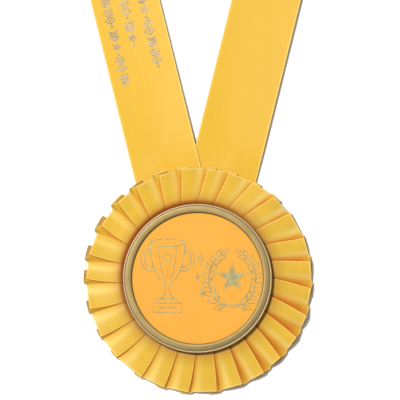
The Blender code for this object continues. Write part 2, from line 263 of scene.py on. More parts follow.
class Finish:
    """A material under construction: one Principled shader and the nodes that feed it."""

    def __init__(self, name, base, roughness, **constants):
        self.material = bpy.data.materials.new(name)
        self.material.use_nodes = True
        self.tree = self.material.node_tree
        self.shader = self.tree.nodes["Principled BSDF"]
        self.shader.inputs["Base Color"].default_value = (*base, 1.0)
        self.shader.inputs["Roughness"].default_value = roughness
        for socket, value in constants.items():
            self.shader.inputs[socket.replace("_", " ")].default_value = value

    def node(self, kind, settings, *values, out=0, **named):
        """Adds a node: its settings first, then its sockets by place or by name. Returns one output."""
        made = self.tree.nodes.new(kind)
        for setting, value in settings.items():
            setattr(made, setting, value)
        for place, value in [*enumerate(values), *named.items()]:
            socket = made.inputs[place if isinstance(place, int) else place.replace("_", " ")]
            if isinstance(value, Wire):
                self.tree.links.new(value.socket, socket)
            elif value is not None:
                socket.default_value = value
        return Wire(self, made.outputs[out])

    def blend(self, share, first, second):
        """Mixes two colours."""
        made = self.node("ShaderNodeMix", {"data_type": "RGBA"}, share, out=2)
        node = made.socket.node
        for socket, value in ((node.inputs[6], first), (node.inputs[7], second)):
            if isinstance(value, Wire):
                self.tree.links.new(value.socket, socket)
            else:
                socket.default_value = (*value[:3], 1.0)
        return made

    def feed(self, socket, wire):
        self.tree.links.new(wire.socket, self.shader.inputs[socket])
        return self

    def noise(self, vector, scale, detail=3.0, roughness=0.5):
        return self.node(
            "ShaderNodeTexNoise", {}, Vector=vector, Scale=scale, Detail=detail, Roughness=roughness
        )

    def parts(self, vector):
        """A vector's three numbers."""
        split = self.node("ShaderNodeSeparateXYZ", {}, vector).socket.node
        return [Wire(self, output) for output in split.outputs]

    def vector(self, x, y, z=0.0):
        return self.node("ShaderNodeCombineXYZ", {}, x, y, z)

    def place(self):
        """Where a point is on the object."""
        return self.node("ShaderNodeTexCoord", {}, out=3)

    def carried(self, name):
        """A measure that the mesh carries from point to point."""
        return self.node("ShaderNodeAttribute", {"attribute_name": name}, out=2)

    def cloth(self):
        """Across and along a strip of ribbon, in metres."""
        return self.node("ShaderNodeUVMap", {"uv_map": "cloth"})

    def bump(self, height, distance, strength):
        return self.feed("Normal", self.node(
            "ShaderNodeBump", {}, Strength=strength, Distance=distance, Height=height
        ))


def shade(base, factor):
    """A colour made darker or lighter."""
    return tuple(channel * factor for channel in base)


def satin_finish(name, base, width):
    """Polyester satin: fine threads along the strip, soft streaks across it and a firmer selvedge; on the
    pleats, painted shade and painted highlights from what the points carry.
    """
    made = Finish(
        name, base, 0.42, Anisotropic=0.45, Sheen_Weight=0.04, Sheen_Roughness=0.35,
        Sheen_Tint=(1.0, 0.82, 0.4, 1.0), Specular_IOR_Level=0.14,
    )
    across, along, _ = made.parts(made.cloth())
    threads = made.noise(made.vector(across * 5200.0, along * 160.0), 1.0, detail=1.0)
    weft = made.node(
        "ShaderNodeTexWave", {"wave_type": "BANDS", "bands_direction": "X", "wave_profile": "SIN"},
        Vector=made.vector(along * 950.0, across * 60.0), Scale=1.0, Distortion=0.6, Detail=1.0,
    )
    streaks = made.noise(made.vector(across * 900.0, along * 30.0), 1.0, detail=3.0)
    patches = made.noise(made.place(), 38.0, detail=2.0)
    edge = (across - width / 2).sum("ABSOLUTE").stretched(width / 2 - 0.9 * MM, width / 2 - 0.5 * MM)
    tone = made.blend(streaks.stretched(0.3, 0.7), shade(base, 0.975), shade(base, 1.015))
    tone = made.blend(patches.stretched(0.35, 0.7) * 0.3, tone, shade(base, 0.96))
    tone = made.blend(threads.stretched(0.35, 0.65) * 0.14, tone, shade(base, 0.9))
    # Shares of painted shade and painted highlight that the ruffle's points carry.
    valley, shine, crest, panel, tucked = (made.carried(name) for name in LOOKS)
    ripple = made.noise(made.vector(across * 260.0, along * 60.0), 1.0, detail=2.0).stretched(0.3, 0.7)
    # Colours of painted light on the pleats: shade in the folds, highlight on the panels, shade on the panels
    # and shade on the under layers that peek out.
    fold_shade = (base[0] * 0.74, base[1] * 0.31, base[2] * 0.35)
    pale = (min(1.0, base[0] * 1.14), base[1] * 1.4, base[2] * 4.8)
    panel_shade = (base[0] * 0.86, base[1] * 0.925, base[2] * 1.2)
    olive_shade = (base[0] * 0.50, base[1] * 0.46, base[2] * 0.8)
    # Painted shade on the pleat panels: darker than the flat ribbon, broken up at random.
    tone = made.blend(ripple * panel.held() * 0.8, tone, panel_shade)
    # Painted highlight: a pale band on each panel, broken up at random.
    tone = made.blend(shine * (0.75 + ripple * 0.35), tone, pale)
    tone = made.blend(edge * 0.6, tone, pale)
    # Painted shade in the folds' valleys.
    tone = made.blend(valley, tone, fold_shade)
    # Painted shade on the under layers that peek out at the rim on the loose side.
    tone = made.blend(panel.stretched(1.1, 2.0), tone, olive_shade)
    # Painted highlight along each fold line.
    tone = made.blend(crest * 0.8, tone, (min(1.0, base[0] * 1.2), base[1] * 1.3, base[2] * 3.6))
    # Painted shade beside the button, where the cloth goes under it.
    tone = made.blend(tucked.held(), tone, (base[0] * 0.37, base[1] * 0.14, base[2] * 0.32))
    made.feed("Base Color", tone)
    made.feed("Roughness", 0.37 + streaks * 0.1 + edge * 0.06)
    made.bump(threads * 0.6 + weft * 0.5 + edge * 0.8, 0.025 * MM, 0.35)
    return made.material


def foil_finish(name, base):
    """Hot-stamped foil that takes the satin's threads: mottled, with small missed specks."""
    made = Finish(name, base, 0.5, Metallic=0.3, Specular_IOR_Level=0.4)
    place = made.place()
    mottle = made.noise(place, 900.0, detail=4.0, roughness=0.6)
    clouds = made.noise(place, 210.0, detail=2.0)
    tone = made.blend(clouds.stretched(0.3, 0.7), shade(base, 0.78), shade(base, 1.25))
    tone = made.blend(mottle.stretched(0.45, 0.62) * 0.6, tone, shade(base, 0.62))
    made.feed("Base Color", tone)
    made.feed("Roughness", 0.4 + mottle * 0.25)
    made.feed("Metallic", 0.15 + clouds * 0.35)
    made.bump(mottle, 0.02 * MM, 0.4)
    return made.material


def brass_finish(name, base, mouth):
    """Plated metal brushed on a lathe: fine rings, a bright outer lip with a painted highlight and a dark
    corner at its mouth with painted shade.
    """
    made = Finish(name, base, 0.5, Metallic=0.88, Anisotropic=0.3)
    x, y, z = made.parts(made.place())
    radius = (x * x + y * y).sum("SQRT")
    fine = made.noise(made.vector(radius * 9000.0, z * 9000.0, (x + y) * 12.0), 1.0, detail=2.0)
    broad = made.noise(made.vector(radius * 1500.0, z * 1500.0, (x - y) * 9.0), 1.0, detail=1.0)
    scuffs = made.noise(made.place(), 160.0, detail=4.0, roughness=0.65)
    tone = made.blend(fine.stretched(0.3, 0.7), shade(base, 0.82), shade(base, 1.18))
    tone = made.blend(broad.stretched(0.35, 0.65) * 0.5, tone, shade(base, 1.28))
    tone = made.blend(scuffs.stretched(0.55, 0.75) * 0.3, tone, shade(base, 0.7))
    # Painted highlight: the bezel's outer lip made lighter.
    lip = radius.stretched(BEZEL_RADIUS - 0.4 * MM, BEZEL_RADIUS + 0.4 * MM)
    tone = made.blend(lip * 0.75, tone, (0.64, 0.5, 0.3))
    # Painted shade: the corner at the bezel's mouth made dark.
    corner = radius.stretched(mouth + 0.6 * MM, mouth + 0.15 * MM)
    tone = made.blend(corner * 0.75, tone, shade(base, 0.3))
    made.feed("Base Color", tone)
    made.feed("Roughness", 0.44 + fine * 0.16 + scuffs * 0.08)
    made.bump(fine * 0.6 + broad, 0.03 * MM, 0.3)
    return made.material


def face_finish(name, base):
    """The printed face: matt, very finely ribbed, almost even in tone."""
    made = Finish(name, base, 0.62, Sheen_Weight=0.1, Sheen_Roughness=0.5, Specular_IOR_Level=0.3)
    x, y, _ = made.parts(made.place())
    ribs = made.noise(made.vector(x * 180.0, y * 4200.0), 1.0, detail=1.0)
    clouds = made.noise(made.place(), 45.0, detail=2.0)
    tone = made.blend(clouds.stretched(0.3, 0.7), shade(base, 0.975), shade(base, 1.02))
    made.feed("Base Color", made.blend(ribs * 0.12, tone, shade(base, 0.9)))
    made.feed("Roughness", 0.56 + ribs * 0.12)
    made.bump(ribs, 0.02 * MM, 0.3)
    return made.material


def board_finish(name, base, fibre, ruled=False):
    """Pulp board or card: fibres and flecks, and on the back card a few ruled lines to write on."""
    made = Finish(name, base, 0.85)
    place = made.place()
    fibres = made.noise(place, 1400.0, detail=5.0, roughness=0.7)
    flecks = made.noise(place, 420.0, detail=1.0)
    tone = made.blend(fibres.stretched(0.35, 0.7), shade(base, 1.0 - fibre), shade(base, 1.0 + fibre / 2))
    tone = made.blend(flecks.stretched(0.68, 0.74) * 0.5, tone, shade(base, 0.55))
    if ruled:
        x, y, _ = made.parts(place)
        pitch, half_length, half_height, round_edge = 8.0 * MM, 19.0 * MM, 14.0 * MM, 27.5 * MM
        line = (pitch / 2 - (y + pitch / 2).sum("PINGPONG", pitch / 2)) < 0.14 * MM
        inside = (x.sum("ABSOLUTE") < half_length) * (y.sum("ABSOLUTE") < half_height)
        radius = (x * x + y * y).sum("SQRT")
        border = (radius - round_edge).sum("ABSOLUTE") < 0.2 * MM
        tone = made.blend((line * inside + border).held() * 0.8, tone, (0.16, 0.17, 0.2))
    made.feed("Base Color", tone)
    made.feed("Roughness", 0.78 + fibres * 0.15)
    made.bump(fibres, 0.03 * MM, 0.5)
    return made.material


def plain_finish(name, base, roughness, grain, **constants):
    """Wire, thread or glue: one tone that a fine grain breaks up."""
    made = Finish(name, base, roughness, **constants)
    speckle = made.noise(made.place(), grain, detail=3.0, roughness=0.6)
    made.feed("Base Color", made.blend(speckle.stretched(0.3, 0.7), shade(base, 0.8), shade(base, 1.12)))
    made.feed("Roughness", roughness * 0.8 + speckle * roughness * 0.4)
    made.bump(speckle, 0.02 * MM, 0.4)
    return made.material


def shared_satin():
    """The one satin that every ribbon is made of."""
    made = bpy.data.materials.get("golden_satin")
    settings = bpy.context.scene.award_neck_ribbon
    return made or satin_finish("golden_satin", settings.satin, settings.width)


def shared_brass():
    """The one plating that the bezel and the pan share."""
    made = bpy.data.materials.get("brushed_brass")
    settings = bpy.context.scene.award_button
    return made or brass_finish("brushed_brass", settings.brass, settings.bezel_inner)


def coat_node(node, finish):
    """Gives a carried-over node its finish."""
    mesh = frame["nodes"][node].data
    mesh.materials.clear()
    mesh.materials.append(finish)


# Ruffle -----------------------------------------------------------------------------------------

# The ruffle comes out from under the pan at the ring, and its rim lies a little off the middle.
RING = BUTTON_RADIUS - 1.5 * MM
RIM_OFFSET = Vector((0.9 * MM, -1.25 * MM, 0.0))
LAYER = 0.27 * MM
OVER_RIBBON = 2.3 * MM
PANEL_STEPS = 13
RISER_STEPS = 5

# The folds drift from even steps once round and twice round: how far, and towards which side.
FIRST_FOLD = math.radians(12.1)
ONE_SIDED_DRIFT = (math.radians(3.2), math.radians(-65.0))
TWO_SIDED_DRIFT = (math.radians(1.5), math.radians(90.0))

# Sides of the ruffle: where its pleats stand most open, lie loosest and turn their panels to the light.
OPEN_SIDE = math.radians(147)
LOOSE_SIDE = math.radians(165)
LIT_SIDE = math.radians(150)

# Names of the shares of painted light that each point of the ruffle carries.
LOOKS = ("valley", "shine", "crest", "panel", "tucked")


def look(valley=0.0, shine=0.0, crest=0.0, panel=0.0, tucked=1.0):
    """How a point of the cloth looks, in shares of painted light: painted shade in a fold, painted highlight
    on a panel, the painted highlight of a fold line, on a panel with its painted shade (over 1 where it is in
    the shade), and painted shade where it goes under the button."""
    return valley, shine, crest, panel, tucked


BACK = look(tucked=0.0)


class Pleat:
    """How one knife pleat stands: where its leading fold is, and how it opens towards the rim."""

    def __init__(self, index, count, chance):
        even = math.tau * index / count
        drift = ONE_SIDED_DRIFT[0] * math.cos(even - ONE_SIDED_DRIFT[1])
        drift += TWO_SIDED_DRIFT[0] * math.cos(2 * even - TWO_SIDED_DRIFT[1])
        self.angle = FIRST_FOLD + even + drift + math.radians(chance.uniform(-0.5, 0.5))
        self.lean = math.radians(3.5 + chance.uniform(-1.3, 1.3))
        opening = 2.3 + 1.7 * math.cos(2 * (self.angle - OPEN_SIDE)) + chance.uniform(-0.5, 0.5)
        self.riser = max(0.35, opening) * MM
        self.lift = (1.3 + 0.5 * self.riser / MM + chance.uniform(-0.2, 0.2)) * MM
        loose = max(0.0, math.cos(self.angle - LOOSE_SIDE)) ** 1.5
        self.reach = (0.65 + 1.4 * loose + chance.uniform(-0.25, 0.35)) * MM
        # How much painted shade the under layers get where they peek out at the rim.
        self.dulled = min(1.0, 1.6 * loose)
        self.rim = chance.uniform(-0.35, 0.35) * MM
        self.droop = chance.uniform(0.04, 0.12)
        self.bow = chance.uniform(1.7, 2.4)
        lit = math.cos(self.angle - LIT_SIDE)
        # How wide and how dark each fold's painted shade is: less on the side turned to the light, and less
        # towards the rim.
        self.glow = (0.58 * self.riser / MM + 1.0 - 0.65 * lit + chance.uniform(-0.2, 0.35)) * MM
        self.depth = 0.76 - 0.2 * lit
        self.rim_light = 0.6 + 0.1 * lit + chance.uniform(-0.1, 0.1)
        # Where each panel's painted highlight lies, and how strong it is.
        self.shine = chance.uniform(0.6, 1.0)
        self.shine_at = chance.uniform(0.22, 0.36)

    def dusk(self, away, out):
        """How much painted shade the cloth gets at a distance beyond the fold line: deepest half way out, and
        less towards the rim.
        """
        spread = self.glow * between(0.28, 1.0, out)
        dark = self.depth * math.exp(-(away / spread) ** 2)
        return dark * (1 - self.rim_light * ease((out - 0.72) / 0.28))

    def fold_at(self, out):
        """Angle of the leading fold, at a share of the way from the ring to the rim."""
        return self.angle - self.lean * out


class Ruffle:
    """One strip of satin in knife pleats, cut across at any share of its width."""

    def __init__(self, settings):
        self.settings = settings
        chance = random.Random(11)
        count = settings.pleats
        self.pleats = [Pleat(index, count, chance) for index in range(count)]
        self.inner = settings.rim_radius - settings.strip_width

    def out_at(self, radius):
        """Share of the way from the ring to the rim."""
        return max(0.0, min(1.0, (radius - RING) / (self.settings.rim_radius - RING)))

    def pitch_at(self, index, radius):
        """Length round the ruffle from the last fold line to this one."""
        out = self.out_at(radius)
        gap = (self.pleats[index].fold_at(out) - self.pleats[index - 1].fold_at(out)) % math.tau
        return gap * radius

    def profile(self, index, radius):
        """One pleat laid straight: (along, height, slack, look), with along measured from its fold line.

        Slack is 0 at the fold line, and 1 on the under folds, which reach out further at the rim.
        """
        pleat, before = self.pleats[index], self.pleats[index - 1]
        out = self.out_at(radius)
        opened = out ** 1.5
        pitch = self.pitch_at(index, radius)
        hidden = between(0.72 * pitch, self.settings.hidden_rim, out)
        riser, last_riser = pleat.riser * opened, before.riser * opened
        lift = pleat.lift * opened
        start = last_riser - pitch
        panel = -start
        # Panel shares over 1 carry the painted shade of the under layers that peek out.
        tone = 1 + pleat.dulled * out ** 5

        # From the fold hidden under the last pleat forward to where the panel shows.
        path = [
            (-pitch - hidden - LAYER / 2, LAYER / 2, 1.0, BACK),
            *((along, 0.0, 1.0, BACK) for along in (-pitch - hidden, -pitch - hidden / 2, -pitch)),
            (start - 0.1 * MM, 0.0, 1.0, BACK),
            (start, 0.02 * MM, 1.0, look(before.dusk(last_riser, out), panel=tone)),
        ]

        # The panel, up over the two hidden layers to the fold line.
        for step in range(1, PANEL_STEPS):
            share = (step / PANEL_STEPS) ** 1.15
            at = share * panel
            climb = 2 * LAYER * ease(at / max(panel - hidden, 0.3 * MM))
            bulge = 1 - (1 - share) ** pleat.bow - pleat.droop * share ** 3
            # Painted shade from the last fold reaches over the start of this panel.
            valley = before.dusk(last_riser + at, out)
            # Painted highlight: a band across the panel, stronger towards the rim.
            shine = pleat.shine * math.exp(-((share - pleat.shine_at) / 0.15) ** 2) * out ** 0.9
            slack = 1.0 - ease(at / (1.6 * MM))
            seen = look(valley, shine, panel=between(1.0, tone, slack))
            path.append((start + at, climb + lift * bulge, slack, seen))

        # Round the fold line: along, and how far below the crest, with the fold line's painted highlight and
        # painted shade just past it.
        crest = 2 * LAYER + lift * (1 - pleat.droop)
        path += [
            (-0.46 * MM, crest - 0.01 * MM, 0.0, look(0.1, panel=1.0)),
            (-0.24 * MM, crest, 0.0, look(crest=1.0)),
            (-0.03 * MM, crest - 0.04 * MM, 0.0, look(crest=1.0)),
            (0.03 * MM, crest - 0.12 * MM, 0.0, look(pleat.depth)),
        ]

        # Down the riser, and back under the panel.
        # The riser and the layer folded back under the panel get painted shade.
        for step in range(1, RISER_STEPS):
            share = step / RISER_STEPS
            along = 0.03 * MM + riser * share ** 1.3
            height = between(crest - 0.3 * MM, LAYER * 1.15, ease(share) * 0.4 + share * 0.6)
            path.append((along, height, share, look(pleat.dusk(along, out), panel=tone * share)))
        path.append((riser + 0.05 * MM, LAYER * 1.1, 1.0, look(pleat.dusk(riser, out), panel=tone)))
        hem = look(0.3, panel=tone, tucked=0.0)
        path += [(along, LAYER, 1.0, hem) for along in (riser * 0.4 - hidden * 0.1, -hidden * 0.5, -hidden)]
        return path

    def section(self, index, radius):
        """One pleat cut across and bent round the button: (angle, radius, height, look)."""
        pleat = self.pleats[index]
        out = self.out_at(radius)
        end = out ** 4
        middle = -self.pitch_at(index, radius) / 2
        points = []
        for along, height, slack, seen in self.profile(index, radius):
            far = radius + end * (slack * pleat.reach + pleat.rim * (1 - slack))
            far += end * (1 - slack) * (along - middle) ** 2 / (2 * self.settings.rim_radius)
            angle = pleat.fold_at(out) + along / radius
            points.append((angle, far, self.underside(angle, out) + height, seen))
        return points

    def underside(self, angle, out):
        """Height of the lowest layer: puffed up beside the button, and higher where it lies on the ribbon."""
        aside = abs(math.remainder(angle - math.radians(90), math.tau))
        rim = self.settings.low_rim + OVER_RIBBON * ease((math.radians(62) - aside) / math.radians(25))
        puff = 0.9 * MM * ease((out - 0.04) / 0.12) * (1 - out)
        return between(HEADING_LOW, rim, ease(out) * 0.5 + out * 0.5) + puff

    def stations(self):
        """Distances from the middle at which the strip is cut across: closer together where it shows."""
        hidden = [self.inner, self.inner + 6 * MM, RING - 2 * MM]
        shown = [between(RING, self.settings.rim_radius, step / 15) for step in range(16)]
        return hidden + shown

    def row(self, radius):
        """The whole strip cut across at one radius: every point and its look, all the way round."""
        shift = RIM_OFFSET * ease(self.out_at(radius))
        row = []
        for index in range(len(self.pleats)):
            for angle, far, height, seen in self.section(index, radius):
                row.append((Vector((far * math.cos(angle), far * math.sin(angle), height)) + shift, seen))
        return row


def darkened(point, radius):
    """How much painted shade the cloth gets where it goes under the button: a little more on the upper left.
    """
    most = 0.84 + 0.28 * (point.y - point.x) / point.length
    beyond = radius - BUTTON_RADIUS
    close = 1 - ease((beyond + 0.4 * MM) / (3.0 * MM + 0.9 * MM * most))
    return most * close + 0.36 * (1 - close) * (1 - ease(beyond / (9 * MM)))


class AWARD_OT_ruffle(bpy.types.Operator):
    """Pleats the satin strip round the button"""

    bl_idname = "award.ruffle"
    bl_label = "Pleated ruffle"

    def execute(self, context):
        settings = context.scene.award_ruffle
        ruffle = Ruffle(settings)
        stations = ruffle.stations()
        bm = bmesh.new()
        rows = []
        layers = [bm.verts.layers.float.new(name) for name in LOOKS]
        for radius in stations:
            row = ruffle.row(radius)
            points = [point for point, _ in row]
            chain = draw_chain(bm, points) if not rows else carry_on(bm, *chain, points)
            rows.append(chain[0])
            # Each point's shares of painted light go onto the mesh, its painted shade beside the button
            # scaled by where it is.
            for vert, (point, seen) in zip(chain[0], row):
                *plain, tucked = seen
                for layer, value in zip(layers, (*plain, tucked * darkened(point, radius))):
                    vert[layer] = value
        along, lengths = 0.0, [0.0]
        for near, far in zip(points, points[1:]):
            along += (far - near).length
            lengths.append(along)
        marks = []
        for radius, row in zip(stations, rows):
            marks.append([(vert, radius - stations[0], at) for vert, at in zip(row, lengths)])
        mark_cloth(bm, marks)
        bmesh.ops.recalc_face_normals(bm, faces=bm.faces)
        piece = piece_from(bm, "satin_ruffle", shared_satin(), "rosette")
        thicken(piece, settings.cloth)
        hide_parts("ruffle")
        return {"FINISHED"}


# Neck ribbon ------------------------------------------------------------------------------------

# The legs open evenly from the apex, and the tails below it are the strip's two cut ends.
LEG_ANGLE = math.radians(13.9)
APEX = Vector((RIBBON_AXIS_X, -3.8 * MM, 0.0))
TAIL = 12.0 * MM
MID_LEG_Y = (LEG_FOLD_Y + NECK_FOLD_Y) / 2

# The cloth lies at the middle of the frame's thicker strip.
HALF_STRIP = 0.175 * MM
LEG_STEPS = 150
CORNER_STEPS = 104
BAND_STEPS = 14
CREASE_STEPS = 7


class RibbonPath:
    """The neck ribbon as it lies: two legs of a V, folded over at the corners into a level neck band."""

    def __init__(self, settings, side):
        self.side = side
        self.width = settings.width
        self.crease_radius = settings.crease
        self.ground = HALF_STRIP
        self.lift = settings.lift
        self.curl = settings.curl
        self.along = Vector((side * math.sin(LEG_ANGLE), math.cos(LEG_ANGLE), 0.0))
        self.inward = Vector((-side * math.cos(LEG_ANGLE), math.sin(LEG_ANGLE), 0.0))
        self.out = (self.along + Vector((side, 0.0, 0.0))).normalized()
        self.slope = -self.inward.dot(self.out) / self.along.dot(self.out)
        self.level_slope = -self.inward.y / self.along.y
        straight = settings.cut_length - 2 * TAIL - math.tau * settings.crease
        self.crease_at = straight / (2 + 2 * math.sin(LEG_ANGLE))
        self.columns = [settings.width * (step / 8 - 0.5) for step in range(9)]
        self.card_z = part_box("left_tail" if side < 0 else "right_tail")[1].z - HALF_STRIP

    def at(self, s, v):
        """The place on the table at a distance along a leg and across it."""
        return APEX + self.along * s + self.inward * v

    def s_at(self, y):
        """How far along a leg's middle line is at y."""
        return (y - APEX.y) / self.along.y

    def height(self, y):
        """Height of a leg: up between the cards, down under the ruffle, then just off the table."""
        laid = self.ground + self.lift
        over = laid + (1.0 * MM if self.side < 0 else 0.0)
        z = between(self.card_z, over, ease((y - 34 * MM) / (29 * MM)))
        z = between(z, laid, ease((y - 66 * MM) / (74 * MM)))
        wave = math.sin((y - 90 * MM) / (31 * MM) * (1 if self.side < 0 else 0.85)) ** 2
        calm = ease((y - LEG_FOLD_Y - 14 * MM) / (30 * MM)) * ease((NECK_FOLD_Y - 14 * MM - y) / (30 * MM))
        return z + 0.15 * MM * wave * calm

    def lie(self, y, v):
        """Height of a point on a leg, whose edges curl up a little once it is clear of the ruffle."""
        clear = ease((y - 52 * MM) / (18 * MM)) * ease((NECK_FOLD_Y - 4 * MM - y) / (24 * MM))
        return self.height(y) + self.curl * clear * (2 * v / self.width) ** 2

    def leg_rows(self, start, end, count):
        """Rows across a leg of (point, across, along): square at its cut end, level from there on."""
        rows = []
        for step in range(count + 1):
            middle = between(start, end, step / count)
            slant = self.level_slope * ease((middle - 30 * MM) / (25 * MM))
            row = []
            for v in self.columns:
                s = middle + slant * v
                point = self.at(s, v)
                row.append((point + UP * self.lie(point.y, v), v, s + TAIL))
            rows.append(row)
        return rows

    def corner_rows(self):
        """Rows from the middle of a leg to the crease, over it, and along the band to the middle."""
        raised = self.ground + self.lift + 2 * self.crease_radius
        start = self.s_at(MID_LEG_Y)
        rows = []
        for step in range(CORNER_STEPS + 1):
            share = step / CORNER_STEPS
            slant = between(self.level_slope, self.slope, ease((share - 0.64) / 0.36))
            row = []
            for v in self.columns:
                s = between(start, self.crease_at, share) + slant * v
                point = self.at(s, v)
                lifted = ease((point.y - NECK_FOLD_Y - 12 * MM) / (32 * MM))
                row.append((point + UP * between(self.lie(point.y, v), raised, lifted), v, s + TAIL))
            rows.append(row)

        # Over the crease, in a half turn.
        edge = rows[-1]
        creases = [self.at(s - TAIL, v) for _, v, s in edge]
        for turn in range(1, CREASE_STEPS):
            angle = math.pi * turn / CREASE_STEPS
            arm = (UP * math.cos(angle) + self.out * math.sin(angle)) * self.crease_radius
            lift = UP * (raised - self.crease_radius) + arm
            bend = self.crease_radius * angle
            rows.append([(crease + lift, v, s + bend) for crease, (_, v, s) in zip(creases, edge)])

        # Along the band, which starts under its own corner and is a little higher at the middle.
        level = self.at(self.crease_at, 0.0).y
        for step in range(BAND_STEPS + 1):
            share = step / BAND_STEPS
            hump = 0.7 * MM * ease(share * 1.4 - 0.4)
            row = []
            for crease, (_, v, s) in zip(creases, edge):
                point = crease.lerp(Vector((RIBBON_AXIS_X, level + v, 0.0)), share)
                run = (point - crease).length + math.pi * self.crease_radius
                row.append((point + UP * (self.ground + self.lift + hump), v, s + run))
            rows.append(row)
        return rows


def ribbon_sheet(name, rows):
    """A stretch of the neck ribbon, extruded row by row, with the cloth's measure on it."""
    settings = bpy.context.scene.award_neck_ribbon
    bm = bmesh.new()
    marks = []
    for index, row in enumerate(rows):
        points = [point for point, _, _ in row]
        chain = carry_on(bm, *chain, points) if index else draw_chain(bm, points)
        marks.append([(vert, v + settings.width / 2, s) for vert, (_, v, s) in zip(chain[0], row)])
    mark_cloth(bm, marks)
    bmesh.ops.recalc_face_normals(bm, faces=bm.faces)
    piece = piece_from(bm, name, shared_satin(), None)
    middle = len(rows[0]) // 2
    return thicken(piece, settings.cloth), rows[-1][middle][2] - rows[0][middle][2]


class AWARD_OT_neck_ribbon(bpy.types.Operator):
    """Lays the neck ribbon: its two lower ends and the loop that goes round the neck"""

    bl_idname = "award.neck_ribbon"
    bl_label = "Neck ribbon"

    def execute(self, context):
        settings = context.scene.award_neck_ribbon
        for name, side in (("right", 1), ("left", -1)):
            path = RibbonPath(settings, side)
            rows = path.leg_rows(-TAIL, path.s_at(MID_LEG_Y), LEG_STEPS)
            piece, run = ribbon_sheet(f"ribbon_{name}_lower", rows)
            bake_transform(piece)
            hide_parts(f"{name}_tail", f"{name}_leg")
        rows = RibbonPath(settings, -1).corner_rows()
        whole = 2 * rows[-1][0][2]
        for row in RibbonPath(settings, 1).corner_rows()[-2::-1]:
            rows.append([(point, v, whole - s) for point, v, s in row])
        piece, run = ribbon_sheet("ribbon_neck_loop", rows)
        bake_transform(piece)
        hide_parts("neck_band")
        return {"FINISHED"}


# Foil -------------------------------------------------------------------------------------------


class FoilPrint:
    """Flat foil shapes, each a few microns above the last so that crossing shapes stay apart."""

    def __init__(self):
        self.bm = bmesh.new()
        self.count = 0
        self.place = lambda x, y: Vector((x, y, 0.0))

    def put(self, points):
        """The points on the surface that the foil lies on."""
        rise = UP * 0.004 * MM * (self.count % 11)
        return [self.place(point[0], point[1]) + rise for point in points]

    def face_up(self, faces):
        """Turns a shape over when it looks down."""
        self.count += 1
        for face in faces:
            face.normal_update()
        if sum(face.normal.z * face.calc_area() for face in faces) < 0:
            bmesh.ops.reverse_faces(self.bm, faces=faces)

    def stroke(self, points, width, closed=False):
        """A flat line: a chain on one side of the points, extruded to the other side."""
        points = [Vector(point[:2]) for point in points]
        count = len(points)
        left, right = [], []
        for index, point in enumerate(points):
            before = points[index - 1] if index or closed else point
            after = points[(index + 1) % count] if index < count - 1 or closed else point
            run = (after - before).normalized()
            side = Vector((-run.y, run.x)) * (width / 2)
            left.append(point + side)
            right.append(point - side)
        verts, edges = draw_chain(self.bm, self.put(left), closed)
        carry_on(self.bm, verts, edges, self.put(right))
        self.face_up(list({face for edge in edges for face in edge.link_faces}))

    def patch(self, points):
        """A flat filled shape."""
        self.face_up([self.bm.faces.new([self.bm.verts.new(point) for point in self.put(points)])])

    def piece(self, name, finish, body, slot, thickness):
        """Ends the print as one piece of foil."""
        made = piece_from(self.bm, name, finish, body)
        return thicken(made, thickness, sharp=40.0)


def arc(centre, radii, start, end, count):
    """Points along a stretch of an ellipse, from one angle in degrees to another."""
    turns = [math.radians(between(start, end, step / count)) for step in range(count + 1)]
    return [(centre[0] + radii[0] * math.cos(a), centre[1] + radii[1] * math.sin(a)) for a in turns]


def leaf(root, heading, size, breadth, count=7):
    """The outline of a pointed leaf that grows from its root at a heading in degrees."""
    turn = math.radians(heading)
    run, side = Vector((math.cos(turn), math.sin(turn))), Vector((-math.sin(turn), math.cos(turn)))
    shares = [step / count for step in range(count + 1)]
    edge = [(share, math.sin(math.pi * share ** 0.85)) for share in shares]
    upper = [Vector(root) + run * size * share + side * breadth * bow / 2 for share, bow in edge]
    lower = [Vector(root) + run * size * share - side * breadth * bow / 2 for share, bow in edge[-2:0:-1]]
    return upper + lower


def star(centre, radius, points=5, waist=0.42):
    """The outline of a star that stands on two tips."""
    tips = []
    for step in range(2 * points):
        angle = math.pi / 2 + math.pi * step / points
        reach = radius * (waist if step % 2 else 1.0)
        tips.append((centre[0] + reach * math.cos(angle), centre[1] + reach * math.sin(angle)))
    return tips


def draw_cup(foil, centre, line):
    """A two-handled cup in outline, drawn in millimetres about its middle."""
    x, y = centre
    foil.stroke(arc((x, y + 17.5), (9.0, 1.9), 0, 360, 40)[:-1], line, closed=True)
    half = (
        (arc((0, 17.0), (9.0, 20.5), 0, -84, 22), line),
        (arc((8.2, 9.0), (5.6, 6.2), 82, -118, 24), line),
        (arc((8.4, 9.2), (3.7, 4.3), 76, -106, 20), line),
        ([(1.0, -3.6), (1.7, -5.0), (0.9, -6.4), (1.2, -9.0), (3.6, -11.6)], line),
        (arc((0, 14.8), (4.4, 16.5), 4, -76, 16), line * 0.8),
    )
    for side in (-1, 1):
        for points, width in half:
            foil.stroke([(x + side * a, y + b) for a, b in points], width)
    foil.stroke([(x, y + 4.8), (x, y - 2.2)], line * 0.8)
    foil.stroke(star((x, y + 9.8), 3.2), line * 0.9, closed=True)
    for half_width, top, bottom in ((5.0, -11.6, -13.8), (7.4, -13.8, -18.6)):
        left, right = x - half_width, x + half_width
        plinth = [(left, y + top), (right, y + top), (right, y + bottom), (left, y + bottom)]
        foil.stroke(plinth, line, closed=True)
    foil.stroke([(x - 4.6, y - 16.2), (x + 4.6, y - 16.2)], line * 1.4)


